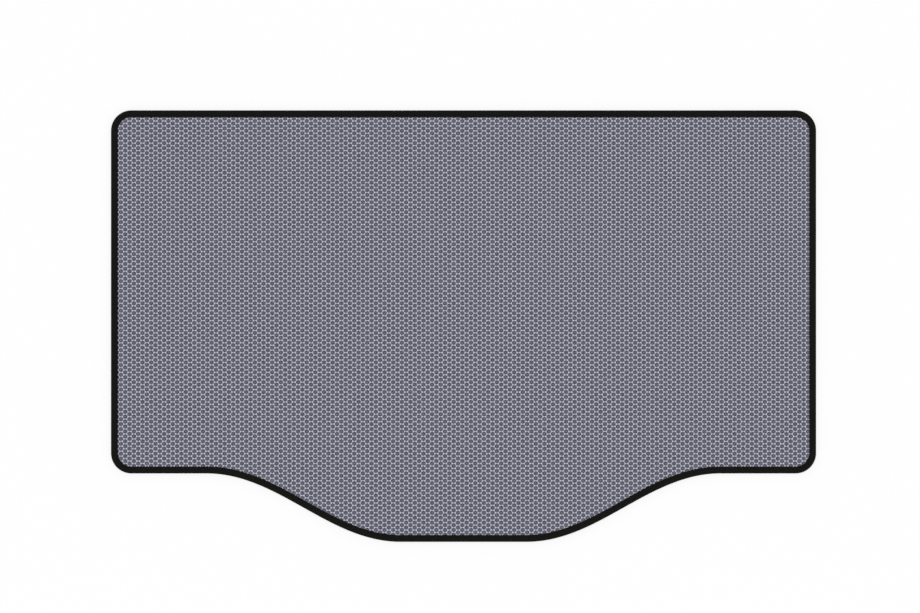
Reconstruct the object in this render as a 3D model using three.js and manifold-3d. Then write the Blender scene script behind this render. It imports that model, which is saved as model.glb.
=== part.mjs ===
// Car boot liner: a flat foam sheet with a moulded honeycomb face, cut to the floor of a car's
// luggage space and bound all round with a folded woven tape, which a lockstitch seam holds on.
//
// Millimetres. +X runs across the car, +Y towards the seat backs and +Z up. The origin is on the
// floor, at the centre of the liner's overall rectangle.

import * as THREE from 'three';
import { mergeGeometries, mergeVertices } from 'three/addons/utils/BufferGeometryUtils.js';
import Module from 'manifold-3d';

// Outline of the finished liner, over its binding
const OVERALL_WIDTH = 1000;
const BODY_DEPTH = 515; // straight seat edge to the shoulders
const TONGUE_DEPTH = 97; // how far the tongue reaches past the shoulders, over the boot sill
const SHOULDER_WIDTH = 135.4; // side edge to the start of the tongue's curve
const TONGUE_END_WIDTH = 178.8; // straight end of the tongue
const TONGUE_EASE = 102; // how gently the tongue's curve leaves both of its straight edges
const CORNER_RADIUS = 29;

// Foam sheet
const SHEET_THICKNESS = 10;
const RIM_SQUEEZE = 3.4; // how much thinner the binding presses it at its rim
const SWELL_WIDTH = 3.8; // over which it swells from the rim to its full thickness
const FIELD_MARGIN = 1.5; // plain strip between the swell and the honeycomb

// Honeycomb face. Each pocket of the model stands for a patch of the moulded cells: the same
// pattern, drawn this many times larger in plan and at its true depth.
const CELL_PITCH = 7; // centre to centre of neighbouring cells
const CELL_RIB = 1.1; // wall between two cells, at the face
const CELL_DRAFT = 0.3; // how much further in a cell's wall stands at the floor
const CELL_DEPTH = 6;
const CELLS_PER_POCKET = 7;

// Binding tape
const TAPE_THICKNESS = 1;
const TAPE_COVER = 9.6; // width that lies on each face of the sheet
const FOLD_RADIUS = 3; // outside of the fold round the edge
const LAP_LENGTH = 8; // where the tape's two ends lie one on the other
const LAP_OFFSET = 1; // how far the upper end reaches past the inner edge of the lower one
const LAP_CLIMB = 3; // over which the upper end climbs onto the lower one
const LAP_CUT = 0.4; // run of the upper end's cut edge

// Lockstitch seam
const THREAD_DIAMETER = 0.6;
const SEAM_INSET = 3; // seam to the inner edge of the tape

// Clearances
const SEAT_GAP = 0.3; // between curved faces that press on each other
const FLOOR_GAP = 0.1; // floor to the bobbin thread

// Steps of the curved stretches
const CORNER_STEPS = 6;
const TONGUE_STEPS = 12;
const FOLD_STEPS = 3;
const THREAD_SIDES = 6;

// Heights above the floor
const TAPE_UNDERSIDE = FLOOR_GAP + THREAD_DIAMETER;
const RIM_UNDERSIDE = TAPE_UNDERSIDE + TAPE_THICKNESS;
const RIM_TOP = RIM_UNDERSIDE + SHEET_THICKNESS - RIM_SQUEEZE;
const TAPE_TOP = RIM_TOP + TAPE_THICKNESS;
const CELL_FLOOR = SHEET_THICKNESS - CELL_DEPTH;

// Distances in from the outline
const SEAM_LINE = TAPE_COVER - SEAM_INSET;
const RIM_WIDTH = TAPE_COVER + LAP_OFFSET + SEAT_GAP;
const SWELL_END = RIM_WIDTH + SWELL_WIDTH;

const wasm = await Module();
wasm.setup();

// The outline as tangent arcs, lines and curves, anticlockwise from the left end of the seat edge.
function outlinePath() {
  const side = OVERALL_WIDTH / 2;
  const seatEdge = (BODY_DEPTH + TONGUE_DEPTH) / 2;
  const shoulder = seatEdge - BODY_DEPTH;
  const sill = shoulder - TONGUE_DEPTH;
  const root = side - SHOULDER_WIDTH;
  const tip = TONGUE_END_WIDTH / 2;
  const cornerX = side - CORNER_RADIUS;
  const path = new THREE.Path();
  path.absarc(-cornerX, seatEdge - CORNER_RADIUS, CORNER_RADIUS, Math.PI / 2, Math.PI);
  path.absarc(-cornerX, shoulder + CORNER_RADIUS, CORNER_RADIUS, Math.PI, Math.PI * 1.5);
  path.lineTo(-root, shoulder);
  path.bezierCurveTo(-root + TONGUE_EASE, shoulder, -tip - TONGUE_EASE, sill, -tip, sill);
  path.lineTo(tip, sill);
  path.bezierCurveTo(tip + TONGUE_EASE, sill, root - TONGUE_EASE, shoulder, root, shoulder);
  path.absarc(cornerX, shoulder + CORNER_RADIUS, CORNER_RADIUS, -Math.PI / 2, 0);
  path.absarc(cornerX, seatEdge - CORNER_RADIUS, CORNER_RADIUS, 0, Math.PI / 2);
  path.closePath();
  return path;
}

function stepsOf(curve) {
  if (curve.isLineCurve) return 1;
  return curve.isEllipseCurve ? CORNER_STEPS : TONGUE_STEPS;
}

// Stations round the outline: a point, the direction inwards and how much of the lap lies there.
// The last four are the lap, in the middle of the seat edge.
function outlineStations() {
  const stations = [];
  for (const curve of outlinePath().curves) {
    const steps = stepsOf(curve);
    for (let step = 0; step < steps; step += 1) {
      const tangent = curve.getTangent(step / steps);
      const inwards = new THREE.Vector2(-tangent.y, tangent.x);
      stations.push({ point: curve.getPoint(step / steps), inwards, lap: 0 });
    }
  }
  const seatEdge = (BODY_DEPTH + TONGUE_DEPTH) / 2;
  const lapStation = (x, lap) => ({
    point: new THREE.Vector2(x, seatEdge),
    inwards: new THREE.Vector2(0, -1),
    lap,
  });
  stations.push(lapStation(LAP_LENGTH / 2 + LAP_CLIMB, 0));
  stations.push(lapStation(LAP_LENGTH / 2, 1));
  stations.push(lapStation(-LAP_LENGTH / 2, 1));
  stations.push(lapStation(-LAP_LENGTH / 2 - LAP_CUT, 0));
  return stations;
}

const STATIONS = outlineStations();

// The outline moved inwards by a distance, as a polygon.
function insetOutline(distance) {
  return STATIONS.map(({ point, inwards }) => point.clone().addScaledVector(inwards, distance));
}

// Carries a profile of { inset, height } points round the stations. The profile runs anticlockwise
// when inset is drawn to the right. It closes on itself, or it is open and its first and last
// points carry a flat cap, facing up and down.
function sweepProfile(profileAt, closed) {
  const positions = [];
  const triangles = [];
  const profiles = STATIONS.map(({ lap }) => profileAt(lap));
  const count = profiles[0].length;
  STATIONS.forEach(({ point, inwards }, index) => {
    for (const { inset, height } of profiles[index]) {
      positions.push(point.x + inwards.x * inset, point.y + inwards.y * inset, height);
    }
  });
  const vertex = (station, corner) => (station % STATIONS.length) * count + (corner % count);
  const strips = closed ? count : count - 1;
  for (let station = 0; station < STATIONS.length; station += 1) {
    for (let corner = 0; corner < strips; corner += 1) {
      const here = vertex(station, corner);
      const across = vertex(station + 1, corner + 1);
      triangles.push(here, vertex(station, corner + 1), across);
      triangles.push(here, across, vertex(station + 1, corner));
    }
  }
  if (!closed) {
    const top = insetOutline(profiles[0][0].inset);
    const underside = insetOutline(profiles[0][count - 1].inset);
    for (const [a, b, c] of THREE.ShapeUtils.triangulateShape(top, [])) {
      triangles.push(vertex(a, 0), vertex(b, 0), vertex(c, 0));
    }
    for (const [a, b, c] of THREE.ShapeUtils.triangulateShape(underside, [])) {
      triangles.push(vertex(c, count - 1), vertex(b, count - 1), vertex(a, count - 1));
    }
  }
  const geometry = new THREE.BufferGeometry();
  geometry.setAttribute('position', new THREE.Float32BufferAttribute(positions, 3));
  geometry.setIndex(triangles);
  return geometry;
}

// Points of an arc that turns anticlockwise by a signed angle, both ends included.
function foldArc(inset, height, radius, startAngle, turn) {
  const points = [];
  for (let step = 0; step <= FOLD_STEPS; step += 1) {
    const angle = startAngle + (turn * step) / FOLD_STEPS;
    points.push({ inset: inset + radius * Math.cos(angle), height: height + radius * Math.sin(angle) });
  }
  return points;
}

// Radius of the fold's outside, no more than half of the folded tape's height.
function foldRadius() {
  return Math.min(FOLD_RADIUS, (TAPE_TOP - TAPE_UNDERSIDE) / 2 - SEAT_GAP);
}

// Radius of the fold's inside, which the rim of the sheet fills.
function innerFoldRadius() {
  return Math.max(foldRadius() - TAPE_THICKNESS, SEAT_GAP);
}

function manifoldOf(geometry) {
  const bare = geometry.clone();
  bare.deleteAttribute('normal');
  bare.deleteAttribute('uv');
  const merged = mergeVertices(bare);
  return new wasm.Manifold(new wasm.Mesh({
    numProp: 3,
    vertProperties: merged.getAttribute('position').array,
    triVerts: new Uint32Array(merged.getIndex().array),
  }));
}

function geometryOf(solid) {
  const { vertProperties, triVerts } = solid.getMesh();
  const geometry = new THREE.BufferGeometry();
  geometry.setAttribute('position', new THREE.BufferAttribute(vertProperties, 3));
  geometry.setIndex(new THREE.BufferAttribute(triVerts, 1));
  return geometry;
}

function isInside(point, polygon) {
  let inside = false;
  polygon.forEach((corner, index) => {
    const next = polygon[(index + 1) % polygon.length];
    const spans = corner.y > point.y !== next.y > point.y;
    const share = (point.y - corner.y) / (next.y - corner.y);
    if (spans && point.x < corner.x + share * (next.x - corner.x)) inside = !inside;
  });
  return inside;
}

// One pocket: a hexagonal frustum with two corners on the X direction, open past the face.
function pocketGeometry(x, y) {
  const mouth = ((CELL_PITCH - CELL_RIB) / 2) * CELLS_PER_POCKET;
  const drawIn = CELL_DRAFT * CELLS_PER_POCKET;
  const cornerRadius = (apothem) => apothem / Math.cos(Math.PI / 6);
  const height = 2 * CELL_DEPTH;
  const pocket = new THREE.CylinderGeometry(
    cornerRadius(mouth + drawIn), cornerRadius(mouth - drawIn), height, 6, 1, false, Math.PI / 2,
  );
  pocket.rotateX(Math.PI / 2);
  pocket.translate(x, y, CELL_FLOOR + height / 2);
  return pocket;
}

// All pockets, in columns along Y, every other column half a pitch further on. A pocket is cut
// where its centre lies inside the honeycomb field, and clipped to the field's edge.
function honeycomb() {
  const field = insetOutline(SWELL_END + FIELD_MARGIN);
  const pitch = CELL_PITCH * CELLS_PER_POCKET;
  const columnStep = (pitch * Math.sqrt(3)) / 2;
  const columns = Math.ceil(OVERALL_WIDTH / 2 / columnStep);
  const rows = Math.ceil((BODY_DEPTH + TONGUE_DEPTH) / 2 / pitch);
  const pockets = [];
  for (let column = -columns; column <= columns; column += 1) {
    const stagger = column % 2 === 0 ? 0 : pitch / 2;
    for (let row = -rows; row <= rows; row += 1) {
      const centre = new THREE.Vector2(column * columnStep, row * pitch + stagger);
      if (isInside(centre, field)) pockets.push(pocketGeometry(centre.x, centre.y));
    }
  }
  const clip = new THREE.ExtrudeGeometry(new THREE.Shape(field), {
    depth: 2 * SHEET_THICKNESS,
    bevelEnabled: false,
  });
  return manifoldOf(mergeGeometries(pockets)).intersect(manifoldOf(clip));
}

// Foam sheet: full thickness in the field, squeezed to a rounded rim under the binding.
function foamSheet() {
  const radius = innerFoldRadius();
  const edge = TAPE_THICKNESS + SEAT_GAP;
  const profile = [
    { inset: SWELL_END, height: SHEET_THICKNESS },
    { inset: RIM_WIDTH, height: RIM_TOP },
    ...foldArc(edge + radius, RIM_TOP - radius, radius, Math.PI / 2, Math.PI / 2),
    ...foldArc(edge + radius, RIM_UNDERSIDE + radius, radius, Math.PI, Math.PI / 2),
    { inset: RIM_WIDTH, height: RIM_UNDERSIDE },
    { inset: SWELL_END, height: 0 },
  ];
  return geometryOf(manifoldOf(sweepProfile(() => profile, false)).subtract(honeycomb()));
}

// Binding tape: one strip folded round the rim, its ends lapped in the middle of the seat edge.
function bindingTape() {
  const outer = foldRadius();
  const inner = innerFoldRadius();
  const profileAt = (lap) => {
    const cover = TAPE_COVER + lap * LAP_OFFSET;
    const top = TAPE_TOP + lap * TAPE_THICKNESS;
    return [
      { inset: cover, height: TAPE_UNDERSIDE },
      { inset: cover, height: RIM_UNDERSIDE },
      ...foldArc(TAPE_THICKNESS + inner, RIM_UNDERSIDE + inner, inner, -Math.PI / 2, -Math.PI / 2),
      ...foldArc(TAPE_THICKNESS + inner, RIM_TOP - inner, inner, Math.PI, -Math.PI / 2),
      { inset: cover, height: RIM_TOP },
      { inset: cover, height: top },
      ...foldArc(outer, top - outer, outer, Math.PI / 2, Math.PI / 2),
      ...foldArc(outer, TAPE_UNDERSIDE + outer, outer, Math.PI, Math.PI / 2),
    ];
  };
  return sweepProfile(profileAt, true);
}

// Seam thread, with a flat side on the tape. The height of its middle may change over the lap.
function seamThread(middleAt) {
  const radius = THREAD_DIAMETER / 2 / Math.cos(Math.PI / THREAD_SIDES);
  const profileAt = (lap) => Array.from({ length: THREAD_SIDES }, (_, side) => {
    const angle = (2 * Math.PI * side) / THREAD_SIDES;
    return {
      inset: SEAM_LINE + radius * Math.cos(angle),
      height: middleAt(lap) + radius * Math.sin(angle),
    };
  });
  return sweepProfile(profileAt, true);
}

function needleThread() {
  return seamThread((lap) => TAPE_TOP + lap * TAPE_THICKNESS + THREAD_DIAMETER / 2);
}

function bobbinThread() {
  return seamThread(() => FLOOR_GAP + THREAD_DIAMETER / 2);
}

function material(color, roughness) {
  return new THREE.MeshStandardMaterial({ color, roughness, metalness: 0, flatShading: true });
}

function part(name, geometry, finish) {
  const flat = geometry.toNonIndexed();
  flat.computeVertexNormals();
  const mesh = new THREE.Mesh(flat, finish);
  mesh.name = name;
  return mesh;
}

const foamGrey = material(0x8b8b98, 0.85);
const tapeBlack = material(0x161616, 0.8);
const threadBlack = material(0x121212, 0.6);

const liner = new THREE.Group();
liner.name = 'boot_liner';
liner.add(part('honeycomb_sheet', foamSheet(), foamGrey));
liner.add(part('binding_tape', bindingTape(), tapeBlack));
liner.add(part('needle_thread', needleThread(), threadBlack));
liner.add(part('bobbin_thread', bobbinThread(), threadBlack));

export default liner;
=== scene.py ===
"""Looks of the car boot liner: honeycomb foam sheet, folded binding tape and its lockstitch seam.

Shapes are worked out in millimetres, in the frame's axes, and put into meshes in metres.
"""

import math

import bpy
import numpy as np
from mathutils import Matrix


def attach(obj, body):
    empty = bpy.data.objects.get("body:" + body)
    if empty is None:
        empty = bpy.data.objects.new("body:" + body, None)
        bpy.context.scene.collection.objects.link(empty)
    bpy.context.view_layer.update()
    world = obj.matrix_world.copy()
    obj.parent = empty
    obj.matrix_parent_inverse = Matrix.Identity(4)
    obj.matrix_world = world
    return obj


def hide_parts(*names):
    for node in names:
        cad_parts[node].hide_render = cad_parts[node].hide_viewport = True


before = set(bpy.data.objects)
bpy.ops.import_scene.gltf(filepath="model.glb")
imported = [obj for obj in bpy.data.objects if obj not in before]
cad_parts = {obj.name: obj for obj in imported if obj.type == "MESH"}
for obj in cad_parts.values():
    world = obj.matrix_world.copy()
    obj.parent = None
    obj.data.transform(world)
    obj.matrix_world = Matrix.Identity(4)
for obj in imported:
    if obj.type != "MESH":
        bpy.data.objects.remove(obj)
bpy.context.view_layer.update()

MM = 0.001

# Outline of the finished liner, over its binding
OVERALL_WIDTH = 1000
BODY_DEPTH = 515
TONGUE_DEPTH = 97
SHOULDER_WIDTH = 135.4
TONGUE_END_WIDTH = 178.8
TONGUE_EASE = 102
CORNER_RADIUS = 29
OUTLINE_STEP = 0.25
POINTS_AT_ONCE = 1500  # whose nearest place on the outline is looked for together

# Foam sheet
SHEET_THICKNESS = 10
RIM_UNDERSIDE = 1.7  # heights at the rim, where the binding squeezes the foam
RIM_TOP = 8.3
RIM_INSET = 1.3
RIM_ROUND = 2
RIM_POINTS = 5
RIM_BAND = 0.5  # into which the cells that the rim cuts off are pressed
SWELL_START = 9.8  # insets between which the foam swells to its whole thickness
SWELL_END = 14.5
SWELL_POINTS = 7
BASE_SHARE = 0.37  # of the thickness, under the honeycomb
BASE_STATIONS = 720

# Honeycomb: columns of cells along Y, every other one half a pitch further on
CELL_PITCH = 6.989
COLUMN_STEP = 6.129
CELL_SIZE = np.array([COLUMN_STEP * 4 / 3, CELL_PITCH])  # corner to corner, and side to side
FIRST_CELL = (-1.73, 46.27)  # the centre of one
CELL_COLUMNS = np.arange(-82, 84)  # counted from the first cell, and past the sheet all round
CELL_ROWS = np.arange(-54, 40)
CREST_INWARDS = np.array([0.09, 0.16])  # X and Y from the middle of a rib to its pocket's edge
FLOOR_INWARDS = np.array([1.16, 1.08])  # X and Y from the middle of a rib to its pocket's floor
MIDDLE_INWARDS = 1.2  # least from the foam's rim to a pocket's middle
POCKET_ROUNDING = 0.42  # share of each side that a pocket's corner is cut back by
POCKET_POINTS = 12  # round its edge and round its floor, two to each corner of the cell
CREST_SHARE = 0.975  # heights as shares of the foam's thickness
FLOOR_SHARE = 0.39
MIDDLE_SHARE = 0.42
BLOCK_SHARE = 0.33
TOP_SHARES = (0.9, 0.97)  # between which the ribs turn palest in the foam's painted light
CLEAR_INSET = 26  # from which no cell is touched by the binding
BLOCKS = ("seat", "upper", "lower", "tongue")

# Binding tape
TAPE_UNDERSIDE = 0.7
TAPE_TOP = 9.3
TAPE_THICKNESS = 1
TAPE_COVER = 9.7
TAPE_FLAT = np.array([3.6, 4.4, 5.3, 5.9, 6.25, 6.6, 6.95, 7.3, 7.8, 8.6, 9.35])  # insets
SELVEDGE = 0.3
FOLD_RADIUS = 3
OUTER_POINTS = 6  # on each quarter of the fold, outside and inside
INNER_POINTS = 4
PUFF_START = 2.6  # inset from which the top puffs up, as far as the seam
PUFF_HEIGHT = 0.22
GATHER_FULL = 9  # inset at which the gathers round the corners have their whole height
GATHER_HEIGHT = 0.2
LAP_OFFSET = 1
LAP_LENGTH = 8
LAP_CLIMB = 3
LAP_CUT = 0.4
WARP_PITCH = 0.9
WEFT_PITCH = 0.7

# Lockstitch seam
SEAM_LINE = 6.6
GROOVE_WIDTH = 0.8
GROOVE_DEPTH = 0.25
HOLE_DEPTH = 0.3  # how much deeper the groove is at a needle hole
STITCH_LENGTH = 4
STITCH_STEPS = 6
THREAD_RADIUS = 0.3
THREAD_SIDES = 6
NEEDLE_CROWN, NEEDLE_HOLE = 0.05, -0.7  # heights of the thread's middle over the tape's top
BOBBIN_CROWN, BOBBIN_HOLE = -0.02, 0.6  # and over its underside
PLIES = 3
PLY_PITCH = 1.1

# Bake maps, as shares of the square
MAP_EDGE, MAP_FLOOR = 0.74, 0.42  # a pocket's edge and floor as shares of its cell
SEEN_HEIGHT = 0.98  # for a block's faces that are seen from above
HIDDEN_START, HIDDEN_SIZE = 0.985, 0.014  # a small patch for its other faces
SKIRT_SHIFT = 0.05
ROW_INDENT, ROW_GAP = 0.005, 0.04  # left free at the ends and sides of a strip's rows
TAPE_ROWS, THREAD_ROWS = 10, 40
OUTSIDE_SHARE = 0.9  # of a row, for the tape's outside

# Camera
VIEW_WIDTH = 1304.74  # that the picture shows
VIEW_MIDDLE = (-5.02, 27.8)
CAMERA_HEIGHT = 2000


# Outline

def line(start, end):
    """A straight run: start plus a share of the way to end, with a constant tangent."""
    start, end = np.array(start, float), np.array(end, float)
    share = np.arange(0, 1, OUTLINE_STEP / np.linalg.norm(end - start))[:, None]
    return start + share * (end - start), np.broadcast_to(end - start, (len(share), 2))


def corner(x, y, start):
    """A quarter circle of the corner radius about (x, y), anticlockwise from so many quarters."""
    turn = np.arange(0, 1, OUTLINE_STEP / (CORNER_RADIUS * math.pi / 2))
    angle = (start + turn) * math.pi / 2
    ray = np.stack([np.cos(angle), np.sin(angle)], 1)
    return np.array([x, y]) + CORNER_RADIUS * ray, np.stack([-ray[:, 1], ray[:, 0]], 1)


def ease(a, b, c, d):
    """A cubic curve from a to d with handles b and c, and its derivative."""
    a, b, c, d = (np.array(p, float) for p in (a, b, c, d))
    t = np.arange(0, 1, OUTLINE_STEP / np.linalg.norm(d - a))[:, None]
    u = 1 - t
    point = u**3 * a + 3 * u**2 * t * b + 3 * u * t**2 * c + t**3 * d
    return point, 3 * (u**2 * (b - a) + 2 * u * t * (c - b) + t**2 * (d - c))


def make_outline():
    """Length, point and inward direction along the outline, anticlockwise from the tape's cut."""
    side, seat = OVERALL_WIDTH / 2, (BODY_DEPTH + TONGUE_DEPTH) / 2
    shoulder = seat - BODY_DEPTH
    sill = shoulder - TONGUE_DEPTH
    root, tip = side - SHOULDER_WIDTH, TONGUE_END_WIDTH / 2
    left, right = root - TONGUE_EASE, tip + TONGUE_EASE
    x, low, high = side - CORNER_RADIUS, shoulder + CORNER_RADIUS, seat - CORNER_RADIUS
    cut = -LAP_LENGTH / 2 - LAP_CUT
    runs = [
        line((cut, seat), (-x, seat)),
        corner(-x, high, 1),
        line((-side, high), (-side, low)),
        corner(-x, low, 2),
        line((-x, shoulder), (-root, shoulder)),
        ease((-root, shoulder), (-left, shoulder), (-right, sill), (-tip, sill)),
        line((-tip, sill), (tip, sill)),
        ease((tip, sill), (right, sill), (left, shoulder), (root, shoulder)),
        line((root, shoulder), (x, shoulder)),
        corner(x, low, 3),
        line((side, low), (side, high)),
        corner(x, high, 0),
        line((x, seat), (cut, seat)),
    ]
    point = np.concatenate([run[0] for run in runs] + [runs[0][0][:1]])
    tangent = np.concatenate([run[1] for run in runs] + [runs[-1][1][:1]])
    tangent = tangent / np.linalg.norm(tangent, axis=1, keepdims=True)
    step = np.linalg.norm(np.diff(point, axis=0), axis=1)
    return np.append(0, np.cumsum(step)), point, np.stack([-tangent[:, 1], tangent[:, 0]], 1)


EDGE_LENGTH, EDGE_POINT, EDGE_INWARDS = make_outline()
PERIMETER = EDGE_LENGTH[-1]
STITCHES = round(PERIMETER / STITCH_LENGTH)


def edge_at(along):
    """Points and inward directions of the outline at distances along it."""
    point, inwards = (
        np.stack([np.interp(along, EDGE_LENGTH, table[:, axis]) for axis in (0, 1)], -1)
        for table in (EDGE_POINT, EDGE_INWARDS)
    )
    return point, inwards / np.linalg.norm(inwards, axis=-1, keepdims=True)


def inset_of(points):
    """Distance of points in from the outline, measured at its nearest station, and the way in."""
    edge, inwards = edge_at(np.linspace(0, PERIMETER, round(PERIMETER), endpoint=False))
    parts = np.array_split(points, max(1, len(points) // POINTS_AT_ONCE))
    nearest = np.concatenate([
        np.argmin((part[:, :1] - edge[:, 0]) ** 2 + (part[:, 1:] - edge[:, 1]) ** 2, axis=1)
        for part in parts
    ])
    return np.einsum("ij,ij->i", points - edge[nearest], inwards[nearest]), inwards[nearest]


def corner_share(along):
    """1 where the outline turns outwards as tightly as at its corners, 0 where it runs straight:
    the sine of its turn over a short way, divided by that way, times the corner radius."""
    reach = 6
    _, before = edge_at((along - reach) % PERIMETER)
    _, after = edge_at((along + reach) % PERIMETER)
    turn = before[..., 0] * after[..., 1] - before[..., 1] * after[..., 0]
    return np.clip(turn * CORNER_RADIUS / (2 * reach), 0, 1)


def smooth(value, low, high):
    """Smooth step from 0 at low to 1 at high."""
    share = np.clip((value - low) / (high - low), 0, 1)
    return share * share * (3 - 2 * share)


def swept(along, inset, height):
    """A profile carried along the outline: each point lies in from the edge by its inset and up by
    its height. Both are arrays of stations by points."""
    point, inwards = edge_at(along)
    plan = point[:, None, :] + inwards[:, None, :] * inset[..., None]
    return np.concatenate([plan, height[..., None]], -1).reshape(-1, 3)


def swept_faces(stations, count, closed=True):
    """Quads between neighbouring stations of a profile of count points, anticlockwise when inset
    is drawn to the right. They close along the outline, and across it if the profile is closed."""
    here = np.arange(stations)[:, None] * count
    there = (here + count) % (stations * count)
    across = np.arange(count if closed else count - 1)
    follow = (across + 1) % count
    corners = [here + across, here + follow, there + follow, there + across]
    return np.stack(corners, -1).reshape(-1, 4)


# Meshes

def make_piece(name, points, faces, rounded, material, node):
    """A mesh object from points in millimetres and, for each kind of face, its corner numbers and
    whether it is shaded smooth."""
    mesh = bpy.data.meshes.new(name)
    sizes = np.concatenate([np.full(len(part), part.shape[1]) for part in faces])
    starts = np.cumsum(sizes) - sizes
    corners = np.concatenate([part.ravel() for part in faces])
    mesh.vertices.add(len(points))
    mesh.vertices.foreach_set("co", (points * MM).astype(np.float32).ravel())
    mesh.loops.add(len(corners))
    mesh.loops.foreach_set("vertex_index", corners.astype(np.int32))
    mesh.polygons.add(len(sizes))
    mesh.polygons.foreach_set("loop_start", starts.astype(np.int32))
    smooth_faces = np.repeat(rounded, [len(part) for part in faces])
    mesh.polygons.foreach_set("use_smooth", smooth_faces)
    mesh.update(calc_edges=True)
    mesh.materials.append(material)
    piece = bpy.data.objects.new(name, mesh)
    bpy.context.scene.collection.objects.link(piece)
    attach(piece, "root")
    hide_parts(node)
    return piece


def add_map(piece, name, uv):
    """A UV map from one pair for each face corner."""
    layer = piece.data.uv_layers.new(name=name)
    layer.data.foreach_set("uv", uv.astype(np.float32).ravel())


def strip_map(station, stations, rows, share):
    """Place in a square map of a long strip that is cut into rows: u runs along each row, and v
    across it by a share from 0 to 1, with a gap between the rows. station counts the quads."""
    per_row = math.ceil(stations / rows)
    row, column = np.divmod(station, per_row)
    u = np.stack([column, column, column + 1, column + 1], 1) / per_row
    v = row[:, None] + (1 - ROW_GAP) - (1 - 2 * ROW_GAP) * share
    return np.stack([ROW_INDENT + (1 - 2 * ROW_INDENT) * u, v / rows], -1)


# Honeycomb sheet

def foam_height(inset, share):
    """Height in the foam: its underside plus a share of its thickness. Both are squeezed at the
    binding, and rounded as a quarter circle at the rim."""
    swell = smooth(inset, SWELL_START, SWELL_END)
    reach = np.clip(RIM_INSET + RIM_ROUND - inset, 0, RIM_ROUND)
    rounding = RIM_ROUND - np.sqrt(RIM_ROUND**2 - reach**2)
    top = RIM_TOP + (SHEET_THICKNESS - RIM_TOP) * swell - rounding
    underside = RIM_UNDERSIDE * (1 - swell) + rounding
    return underside + (top - underside) * share


def cell_centres():
    """Centres of all cells inside the sheet, from the seat edge to the tongue."""
    column, row = (grid.ravel() for grid in np.meshgrid(CELL_COLUMNS, CELL_ROWS))
    x = FIRST_CELL[0] + column * COLUMN_STEP
    y = FIRST_CELL[1] + (row + 0.5 * (column % 2)) * CELL_PITCH
    centres = np.stack([x, y], 1)
    centres = centres[inset_of(centres)[0] > RIM_INSET]
    return centres[np.argsort(-centres[:, 1], kind="stable")]


def cell_plan(edge_drawn, floor_drawn):
    """A cell's crest, a hexagon with two corners on the X direction, and its pocket's edge and
    floor: that hexagon drawn in to a share of its size, each corner cut back along both sides."""
    crest = np.array([(2, 0), (1, 2), (-1, 2), (-2, 0), (-1, -2), (1, -2)]) * CELL_SIZE / 4
    sides = np.roll(crest, 1, 0), np.roll(crest, -1, 0)
    pocket = np.stack([crest + POCKET_ROUNDING * (side - crest) for side in sides], 1)
    pocket = pocket.reshape(POCKET_POINTS, 2)
    return crest, pocket * edge_drawn, pocket * floor_drawn


def keep_inside(points, owner_inset, margin):
    """Presses points near the sheet's rim or past it into a narrow band, a margin inside the rim,
    and gives each point's inset. Insets from half a cell outside the outline up to the band's inner
    side map straight onto the band. The inset of the cell that owns a point tells if it is near."""
    inset = np.full(len(points), float(CLEAR_INSET))
    near = np.flatnonzero(owner_inset < CLEAR_INSET)
    inset[near], inwards = inset_of(points[near])
    least = RIM_INSET + margin[near]
    share = (inset[near] + CELL_PITCH / 2) / (least + RIM_BAND + CELL_PITCH / 2)
    moved = np.maximum(least + RIM_BAND * share - inset[near], 0)
    points[near] += inwards * moved[:, None]
    inset[near] += moved
    return inset


def share_corners(crest):
    """Numbers the crest's corners so that neighbouring cells share them, matched in hundredths of
    a millimetre: the place among all cells' corners where each number is first met, and the six
    numbers of each cell."""
    places = np.round(crest.reshape(-1, 2) * 100).astype(np.int64)
    _, first, number = np.unique(places, axis=0, return_index=True, return_inverse=True)
    return first, number.reshape(-1, 6)


def cell_faces(crest_of, edge_of, floor_of, middle_of):
    """Each cell's ribs, the nooks where three ribs meet, the pocket's walls, and its floor as a fan
    about its middle."""
    before, after = edge_of[:, 0::2], edge_of[:, 1::2]
    along = np.roll(floor_of, -1, 1)
    ribs = [crest_of, np.roll(crest_of, -1, 1), np.roll(before, -1, 1), after]
    nooks = [crest_of, after, before]
    walls = [edge_of, np.roll(edge_of, -1, 1), along, floor_of]
    floors = [floor_of, along, np.broadcast_to(middle_of[:, None], along.shape)]
    return [np.stack(part, -1).reshape(-1, len(part)) for part in (ribs, nooks, walls, floors)]


def open_sides(crest_of):
    """The crest's sides that no neighbouring cell of the block shares, as pairs of corners. A
    shared side is there twice, once in each direction."""
    sides = np.stack([crest_of, np.roll(crest_of, -1, 1)], -1).reshape(-1, 2)
    many = crest_of.max() + 1
    return sides[~np.isin(sides @ [many, 1], sides @ [1, many])]


def cell_map(centres, crest, faces):
    """Bake map of the faces seen from above: the plan cut into rows of cells that fill a square.
    Each pocket's edge and floor are drawn further in than they are, so that ribs and walls get
    room. A corner's number tells its ring, and numbers past the floors are middles."""
    count = len(centres)
    cell = np.concatenate([np.repeat(np.arange(count), part.size // count) for part in faces])
    corner_of = np.concatenate([part.ravel() for part in faces])
    _, edge, floor = cell_plan(MAP_EDGE, MAP_FLOOR)
    rings = np.concatenate([np.tile(edge, (count, 1)), np.tile(floor, (count, 1)), [(0, 0)]])
    on_crest = corner_of < len(crest)
    ring = np.where(on_crest, 0, np.minimum(corner_of - len(crest), len(rings) - 1))
    place = centres[cell] + rings[ring]
    place[on_crest] = crest[corner_of[on_crest]]

    low = centres.min(0)
    width, depth = centres.max(0) - low
    rows = round(math.sqrt(width / depth))
    row = np.minimum((centres[cell, 0] - low[0]) * rows // width, rows - 1)
    border = np.array([COLUMN_STEP, CELL_PITCH])
    uv = (place - low + border) - row[:, None] * [width / rows, 0]
    uv /= [width / rows, depth] + 2 * border
    uv[:, 1] = (uv[:, 1] + row) / rows * SEEN_HEIGHT
    return uv


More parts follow.
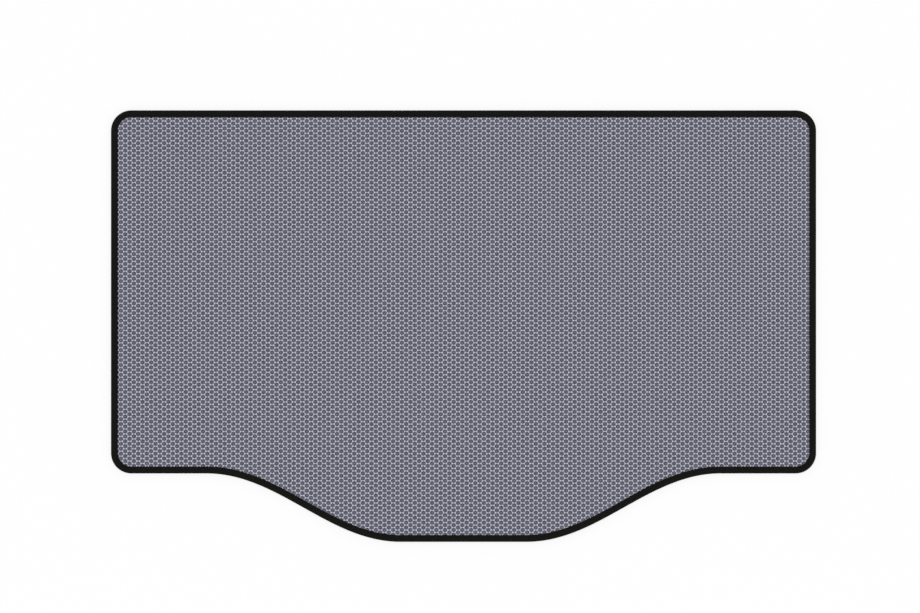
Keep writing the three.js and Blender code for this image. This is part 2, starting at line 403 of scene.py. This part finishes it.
def hidden_map(crest, crest_of, skirt):
    """Bake map of a block's underside and then its skirt: the plan shrunk to a small patch, with
    the skirt's lower side moved along a little so that its faces have some width."""
    low, high = crest.min(0), crest.max(0)
    corner_of = np.concatenate([crest_of[:, ::-1].ravel(), skirt.ravel()])
    place = (crest[corner_of] - low) / (high - low)
    place[crest_of.size:, 1] += np.tile([0, 0, SKIRT_SHIFT, SKIRT_SHIFT], len(skirt))
    return HIDDEN_START + HIDDEN_SIZE * place


def block_points(centres):
    """Points of a block: the crests' corners, which neighbours share, the edge, floor and middle of
    each cell's pocket, and the crests' corners again for the underside. Each stands at its ring's
    share of the foam's thickness. Gives too the points' shares and insets, the plan of the crests'
    corners, and each cell's six numbers in it."""
    drawn = [1 - 2 * inwards / CELL_SIZE for inwards in (CREST_INWARDS, FLOOR_INWARDS)]
    crest, edge, floor = (centres[:, None, :] + ring for ring in cell_plan(*drawn))
    first, crest_of = share_corners(crest)
    crest = crest.reshape(-1, 2)[first]
    groups = [crest, edge.reshape(-1, 2), floor.reshape(-1, 2), centres, crest]
    sizes = [len(group) for group in groups]
    plan = np.concatenate(groups)
    cells = np.arange(len(centres))
    pocket = np.repeat(cells, POCKET_POINTS)
    corner_owner = first // crest_of.shape[1]
    owner = np.concatenate([corner_owner, pocket, pocket, cells, corner_owner])
    margin = np.repeat([0, CREST_INWARDS[1], FLOOR_INWARDS[1], MIDDLE_INWARDS, 0], sizes)
    share = np.repeat([1, CREST_SHARE, FLOOR_SHARE, MIDDLE_SHARE, BLOCK_SHARE], sizes)
    inset = keep_inside(plan, inset_of(centres)[0][owner], margin)
    return np.column_stack([plan, foam_height(inset, share)]), share, inset, crest, crest_of


def stand_upright(piece, faces, chosen):
    """Turns a piece's normals upright at the chosen points, in the first two kinds of face. The
    others stay as they are, which zeros stand for."""
    corners = np.concatenate([part.ravel() for part in faces])
    on_top = np.arange(len(corners)) < faces[0].size + faces[1].size
    normals = np.zeros((len(corners), 3))
    normals[:, 2] = on_top & chosen[corners]
    piece.data.normals_split_custom_set(normals)


def honeycomb_block(name, centres, material):
    """A closed block of cells: its ribs and pockets, the crests again as its underside, and a skirt
    round it. Normals stand upright along its sides, as if the ribs there were shaded together with
    the next block's."""
    points, share, inset, crest, crest_of = block_points(centres)
    count = len(centres)
    edge_of = len(crest) + np.arange(count * POCKET_POINTS).reshape(count, POCKET_POINTS)
    floor_of = edge_of + edge_of.size
    middle_of = floor_of[-1, -1] + 1 + np.arange(count)
    seen = cell_faces(crest_of, edge_of, floor_of, middle_of)
    drop = middle_of[-1] + 1
    skirt = open_sides(crest_of)[:, [0, 1, 1, 0]]
    faces = seen + [crest_of[:, ::-1] + drop, skirt + [drop, drop, 0, 0]]
    rounded = [True, True, False, False, False, False]
    piece = make_piece(name, points, faces, rounded, material, "honeycomb_sheet")

    # Each point's share of the foam's height, which the foam's painted shade and light read
    level = piece.data.attributes.new("level", "FLOAT", "POINT")
    level.data.foreach_set("value", share.astype(np.float32))
    on_side = np.isin(np.arange(len(points)), skirt)
    stand_upright(piece, faces, on_side & (inset > SWELL_END))
    maps = cell_map(centres, crest, seen), hidden_map(crest, crest_of, skirt)
    add_map(piece, "OFBake", np.concatenate(maps))


def foam_base(material):
    """The sheet's solid part under the pockets: a profile carried round the outline, capped flat
    above and below."""
    along = np.linspace(0, PERIMETER, BASE_STATIONS, endpoint=False)
    rim = RIM_INSET + RIM_ROUND * (1 - np.sin(np.linspace(0, math.pi / 2, RIM_POINTS)))
    swell = np.linspace(SWELL_END, SWELL_START, SWELL_POINTS)
    inset = np.concatenate([[SWELL_END + 1], swell, rim])
    inset = np.concatenate([inset, inset[::-1]])
    count = len(inset)
    height = foam_height(inset, np.repeat([BASE_SHARE, 0], count // 2))
    shape = (BASE_STATIONS, count)
    points = swept(along, np.broadcast_to(inset, shape), np.broadcast_to(height, shape))
    cap = np.arange(BASE_STATIONS)[None, :] * count
    faces = [swept_faces(*shape, closed=False), cap, cap[:, ::-1] + count - 1]
    piece = make_piece(
        "foam_base", points, faces, [True, False, False], material, "honeycomb_sheet"
    )


# Binding tape

def lap_share(along):
    """How much of the lap's upper layer lies at each distance: it climbs, and stays to its cut."""
    full = PERIMETER - LAP_LENGTH - LAP_CUT
    return smooth(along, full - LAP_CLIMB, full)


def seam_dip(along, inset):
    """How deep the seam pulls the tape into the foam: a groove, a bell curve across, whose depth
    follows a cosine along it and is greatest at the needle holes."""
    hole = 0.5 + 0.5 * np.cos(2 * math.pi * along * STITCHES / PERIMETER)
    groove = np.exp(-(((inset - SEAM_LINE) / GROOVE_WIDTH) ** 2))
    return groove * (GROOVE_DEPTH + HOLE_DEPTH * hole)


def tape_section(along):
    """Inset and height of the folded tape's section, anticlockwise from the inner edge of its top:
    flat top, fold, flat underside, and back along the inside, where every third point of the flats
    is enough. The top sinks at the seam, puffs up beside it by half a sine wave, and gathers into
    small waves round the corners, a crest to every other stitch."""
    lap = lap_share(along)[:, None]
    here = along[:, None]
    top = TAPE_TOP + TAPE_THICKNESS * lap
    reach = TAPE_COVER + LAP_OFFSET * lap
    spread = (reach - FOLD_RADIUS) / (TAPE_COVER - FOLD_RADIUS)
    flat = FOLD_RADIUS + (TAPE_FLAT - FOLD_RADIUS) * spread
    beside = np.clip((TAPE_FLAT - PUFF_START) / (SEAM_LINE - PUFF_START), 0, 1)
    puff = PUFF_HEIGHT * np.sin(math.pi * beside)
    wave = np.sin(math.pi * here * STITCHES / PERIMETER)
    gathers = GATHER_HEIGHT * corner_share(here) * wave * smooth(TAPE_FLAT, SEAM_LINE, GATHER_FULL)
    dip = seam_dip(here, TAPE_FLAT)
    relief = puff + gathers - dip
    inside = slice(None, None, 3)

    def fold(middle, radius, count, start, end):
        """An arc about a point at the fold radius's inset, between two angles in degrees."""
        angle = np.radians(np.linspace(start, end, count))
        return FOLD_RADIUS + radius * np.cos(angle), middle + radius * np.sin(angle)

    upper, lower = top - FOLD_RADIUS, TAPE_UNDERSIDE + FOLD_RADIUS
    outer = FOLD_RADIUS, OUTER_POINTS
    inner = FOLD_RADIUS - TAPE_THICKNESS, INNER_POINTS
    parts = [
        (reach, top - SELVEDGE),
        (flat[:, ::-1], (top + relief)[:, ::-1]),
        fold(upper, *outer, 90, 180),
        fold(lower, *outer, 180, 270),
        (flat, TAPE_UNDERSIDE + dip),
        (reach, TAPE_UNDERSIDE + SELVEDGE),
        (reach, RIM_UNDERSIDE - SELVEDGE),
        (flat[:, ::-1][:, inside], (RIM_UNDERSIDE + dip)[:, ::-1][:, inside]),
        fold(lower, *inner, 270, 180),
        fold(upper - TAPE_THICKNESS * lap, *inner, 180, 90),
        (flat[:, inside], (RIM_TOP - dip)[:, inside]),
        (reach, top - TAPE_THICKNESS + SELVEDGE - TAPE_THICKNESS * lap),
    ]
    full = np.ones_like(lap)
    return [np.concatenate([part[axis] * full for part in parts], 1) for axis in (0, 1)]


def binding_tape(material):
    """The tape's section carried round the outline, two stations to a stitch, and one at the foot
    of the lap's cut edge. Its Weave map is in metres along and across the tape."""
    along = np.arange(2 * STITCHES) * PERIMETER / (2 * STITCHES)
    along = np.append(along[along < PERIMETER - 2 * LAP_CUT], PERIMETER - LAP_CUT)
    inset, height = tape_section(along)
    stations, count = inset.shape
    faces = swept_faces(stations, count)
    points = swept(along, inset, height)
    piece = make_piece("tape_binding", points, [faces], [True], material, "binding_tape")

    station, place = np.divmod(np.arange(len(faces)), count)
    step = np.hypot(np.diff(inset[0], append=inset[0, 0]), np.diff(height[0], append=height[0, 0]))
    across = np.append(0, np.cumsum(step))
    length = np.append(along, PERIMETER)
    u = np.stack([length[station]] * 2 + [length[station + 1]] * 2, 1)
    v = np.stack([across[place], across[place + 1], across[place + 1], across[place]], 1)
    add_map(piece, "Weave", np.stack([u, v], -1) * MM)
    outside = across[2 * (1 + len(TAPE_FLAT) + OUTER_POINTS)]
    share = np.interp(v, [0, outside, across[-1]], [0, OUTSIDE_SHARE, 1])
    add_map(piece, "OFBake", strip_map(station, stations, TAPE_ROWS, share))


# Seam

def seam_thread(name, material, node, crown, hole):
    """A round thread along the seam line. Between needle holes its middle stands at the height
    crown, and at each hole it dives to the height hole, as the square of 1 - |sin|. Its Twist map
    is in metres along it, and in turns round it."""
    steps = STITCHES * STITCH_STEPS
    along = np.arange(steps) * PERIMETER / steps
    dive = (1 - np.abs(np.sin(math.pi * np.arange(steps) / STITCH_STEPS))) ** 2
    middle = crown(along) * (1 - dive) + hole(along) * dive
    angle = 2 * math.pi * np.arange(THREAD_SIDES) / THREAD_SIDES
    inset = np.broadcast_to(SEAM_LINE + THREAD_RADIUS * np.cos(angle), (steps, THREAD_SIDES))
    height = middle[:, None] + THREAD_RADIUS * np.sin(angle)
    faces = swept_faces(steps, THREAD_SIDES)
    points = swept(along, inset, height)
    piece = make_piece(name, points, [faces], [True], material, node)
    station, side = np.divmod(np.arange(len(faces)), THREAD_SIDES)
    u = np.stack([station, station, station + 1, station + 1], 1) * PERIMETER / steps * MM
    v = np.stack([side, side + 1, side + 1, side], 1) / THREAD_SIDES
    add_map(piece, "Twist", np.stack([u, v], -1))
    add_map(piece, "OFBake", strip_map(station, steps, THREAD_ROWS, v))


# Materials

class Value:
    """A shader value. The operators on it add Math nodes."""

    def __init__(self, nodes, socket):
        self.nodes, self.socket = nodes, socket

    def math(self, operation, *values):
        """A new value from one Math node."""
        node = self.nodes.add("Math", {"operation": operation}, dict(enumerate(values)))
        return Value(self.nodes, node.outputs[0])

    def __add__(self, other):
        return self.math("ADD", self, other)

    def __sub__(self, other):
        return self.math("SUBTRACT", self, other)

    def __rsub__(self, other):
        return self.math("SUBTRACT", other, self)

    def __mul__(self, other):
        return self.math("MULTIPLY", self, other)

    def __truediv__(self, other):
        return self.math("DIVIDE", self, other)

    __radd__, __rmul__ = __add__, __mul__

    def sine(self):
        """The sine of the value, in radians."""
        return self.math("SINE", self)

    def clamped(self):
        """The value held between 0 and 1."""
        return self.math("MINIMUM", self.math("MAXIMUM", self, 0), 1)

    def climb(self, low, high):
        """A straight climb from 0 at low to 1 at high, level before and after."""
        return ((self - low) / (high - low)).clamped()


class Nodes:
    """The node tree of a material or a world."""

    def __init__(self, owner):
        owner.use_nodes = True
        self.tree = owner.node_tree

    def add(self, kind, settings=None, sockets=None):
        """Adds a node: its settings first, then the values or links of its sockets, which are
        named by number, identifier or name."""
        node = self.tree.nodes.new("ShaderNode" + kind)
        for name, value in (settings or {}).items():
            setattr(node, name, value)
        for name, value in (sockets or {}).items():
            found = [socket for socket in node.inputs if socket.identifier == name]
            self.put(found[0] if found else node.inputs[name], value)
        return node

    def put(self, socket, value):
        """Links a value or an output to a socket, or sets the socket to a constant."""
        if isinstance(value, Value):
            value = value.socket
        if isinstance(value, bpy.types.NodeSocket):
            self.tree.links.new(value, socket)
        else:
            socket.default_value = value

    def seen(self):
        """1 for what the camera sees, directly, in gloss or through something clear, else 0."""
        path = self.add("LightPath").outputs
        kinds = "Camera", "Glossy", "Transmission"
        return sum(Value(self, path[f"Is {kind} Ray"]) for kind in kinds).clamped()


class Finish(Nodes):
    """A material made of nodes round one Principled shader, whose constants are given by name."""

    def __init__(self, name, **constants):
        self.material = bpy.data.materials.new(name)
        super().__init__(self.material)
        self.shader = self.tree.nodes["Principled BSDF"]
        for socket, value in constants.items():
            self.show(socket.replace("_", " "), value)

    def show(self, name, value):
        """Sets one of the shader's sockets."""
        self.put(self.shader.inputs[name], value)

    def place(self):
        """The place on the piece, in metres."""
        return self.add("TexCoord").outputs["Object"]

    def own_map(self, name):
        """The two axes of the piece's own UV map."""
        uv = self.add("UVMap", {"uv_map": name}).outputs[0]
        axes = self.add("SeparateXYZ", None, {0: uv}).outputs
        return Value(self, axes["X"]), Value(self, axes["Y"])

    def joined(self, x, y):
        """A vector from two axes."""
        return self.add("CombineXYZ", None, {0: x, 1: y}).outputs[0]

    def noise(self, vector, scale, detail):
        """Cloudy noise about 0.5, with scale clouds to a metre."""
        sockets = {"Vector": vector, "Scale": scale, "Detail": detail}
        return Value(self, self.add("TexNoise", None, sockets).outputs[0])

    def blend(self, share, first, second):
        """The first colour where share is 0, the second where it is 1."""
        sockets = {"Factor_Float": share, "A_Color": first, "B_Color": second}
        return self.add("Mix", {"data_type": "RGBA"}, sockets).outputs[2]

    def bump(self, height, strength, distance):
        """Relief in the shading: a height of 1 stands for the distance, in metres."""
        sockets = {"Strength": strength, "Distance": distance, "Height": height}
        self.show("Normal", self.add("Bump", None, sockets).outputs[0])


WHITE = (1, 1, 1, 1)


def foam_finish():
    """Matt moulded foam: a fine grain and faint mottling of its own, over painted shade and light
    by height:
    paler up the pockets' walls, palest on top of the ribs, and a painted shadow darkest where a
    pocket's floor meets its walls."""
    finish = Finish("moulded_foam", Specular_IOR_Level=0.3)
    place = finish.place()
    grain = finish.noise(place, scale=2400, detail=3)
    mottle = finish.noise(place, scale=160, detail=2)
    level = Value(finish, finish.add("Attribute", {"attribute_name": "level"}).outputs["Fac"])
    # Masks for painted shade and light by height share: middle darkens a pocket's floor most at its
    # edge, wall darkens the pockets, top pales the rib tops
    middle = level.climb(FLOOR_SHARE, MIDDLE_SHARE)
    wall = level.climb(FLOOR_SHARE, CREST_SHARE)
    top = level.climb(*TOP_SHARES)
    tone = 0.2 * middle + 0.42 * wall + 0.18 * top + 0.3 * (grain - 0.5) + 0.3 * (mottle - 0.5)
    # A painted shaded grey for the pockets and a painted lit grey for the rib tops, two copies of
    # one foam; only grain and mottle are the foam's own tone
    painted_shade_grey, painted_lit_grey = (0.236, 0.239, 0.294, 1), (0.611, 0.617, 0.712, 1)
    finish.show("Base Color", finish.blend(tone.clamped(), painted_shade_grey, painted_lit_grey))
    finish.show("Roughness", 0.84 + 0.2 * (grain - 0.5))
    finish.bump(grain, strength=0.45, distance=0.0002)
    return finish.material


def tape_finish():
    """Black woven tape: crossing ribs of warp and weft, paler and rougher on their ridges, with
    slubs where the yarn runs thicker."""
    finish = Finish("woven_tape", Specular_IOR_Level=0.12)
    along, across = finish.own_map("Weave")
    warp = (across * (2 * math.pi / (WARP_PITCH * MM))).sine()
    weft = (along * (2 * math.pi / (WEFT_PITCH * MM))).sine()
    weave = 0.5 + 0.5 * (warp * weft)
    slub = finish.noise(finish.joined(along, 2.5 * across), scale=420, detail=3)
    tone = 0.9 * weave + 3.2 * (slub - 0.5)
    black, charcoal = (0.0009, 0.0009, 0.0006, 1), (0.0085, 0.0086, 0.0075, 1)
    finish.show("Base Color", finish.blend(tone.clamped(), black, charcoal))
    finish.show("Roughness", 0.74 + 0.2 * weave)
    finish.bump(weave, strength=0.9, distance=0.00016)
    return finish.material


def thread_finish():
    """Black twisted thread: plies that wind round it."""
    finish = Finish("twisted_thread", Specular_IOR_Level=0.2)
    along, around = finish.own_map("Twist")
    ply = 0.5 + 0.5 * ((along / (PLY_PITCH * MM) + around * PLIES) * (2 * math.pi)).sine()
    black, charcoal = (0.0025, 0.0025, 0.0025, 1), (0.006, 0.006, 0.006, 1)
    finish.show("Base Color", finish.blend(ply, black, charcoal))
    finish.show("Roughness", 0.5 + 0.2 * ply)
    finish.bump(ply, strength=0.6, distance=0.0001)
    return finish.material


def floor_finish():
    """White floor. What the camera sees of it is mostly plain white, and the rest of it keeps the
    liner's soft shadow."""
    pale = (0.95, 0.95, 0.95, 1)
    finish = Finish("white_floor", Base_Color=pale, Roughness=0.9, Specular_IOR_Level=0)
    glow = finish.add("Emission", None, {"Color": WHITE, "Strength": 1}).outputs[0]
    sockets = {0: 0.82 * finish.seen(), 1: finish.shader.outputs[0], 2: glow}
    shown = finish.add("MixShader", None, sockets).outputs[0]
    finish.put(finish.tree.nodes["Material Output"].inputs["Surface"], shown)
    return finish.material


# Studio

def make_floor():
    """A wide square floor, a little below the liner so that their faces stay apart."""
    reach, below = 9, 0.0001
    signs = [(-1, -1), (1, -1), (1, 1), (-1, 1)]
    corners = [(x * reach, y * reach, -below) for x, y in signs]
    mesh = bpy.data.meshes.new("floor")
    mesh.from_pydata(corners, [], [(0, 1, 2, 3)])
    mesh.materials.append(floor_finish())
    floor = bpy.data.objects.new("floor", mesh)
    bpy.context.scene.collection.objects.link(floor)


def make_light():
    """An even white surround, plain white where it is seen, and a wide softbox overhead."""
    world = bpy.data.worlds.new("studio")
    nodes = Nodes(world)
    background = nodes.tree.nodes["Background"]
    nodes.put(background.inputs["Color"], WHITE)
    nodes.put(background.inputs["Strength"], 0.9 + 0.1 * nodes.seen())
    bpy.context.scene.world = world

    lamp = bpy.data.lights.new("softbox", "AREA")
    lamp.size = 3
    lamp.energy = 24
    softbox = bpy.data.objects.new("softbox", lamp)
    softbox.location = (0, 0, 4)
    bpy.context.scene.collection.objects.link(softbox)


def make_camera():
    """Straight down and without perspective, framed as the photograph is."""
    data = bpy.data.cameras.new("camera")
    data.type = "ORTHO"
    data.ortho_scale = VIEW_WIDTH * MM
    data.clip_end = 50
    camera = bpy.data.objects.new("camera", data)
    camera.location = [distance * MM for distance in (*VIEW_MIDDLE, CAMERA_HEIGHT)]
    bpy.context.scene.collection.objects.link(camera)
    bpy.context.scene.camera = camera


make_camera()
make_light()
make_floor()

foam = foam_finish()
foam_base(foam)
for block, centres in zip(BLOCKS, np.array_split(cell_centres(), len(BLOCKS))):
    honeycomb_block("honeycomb_" + block, centres, foam)

binding_tape(tape_finish())

thread = thread_finish()
seam_thread(
    "seam_needle_thread", thread, "needle_thread",
    lambda along: TAPE_TOP + NEEDLE_CROWN + TAPE_THICKNESS * lap_share(along),
    lambda along: TAPE_TOP + NEEDLE_HOLE + TAPE_THICKNESS * lap_share(along),
)
seam_thread(
    "seam_bobbin_thread", thread, "bobbin_thread",
    lambda along: np.full(len(along), TAPE_UNDERSIDE + BOBBIN_CROWN),
    lambda along: np.full(len(along), TAPE_UNDERSIDE + BOBBIN_HOLE),
)

bpy.context.scene.view_settings.view_transform = "Standard"
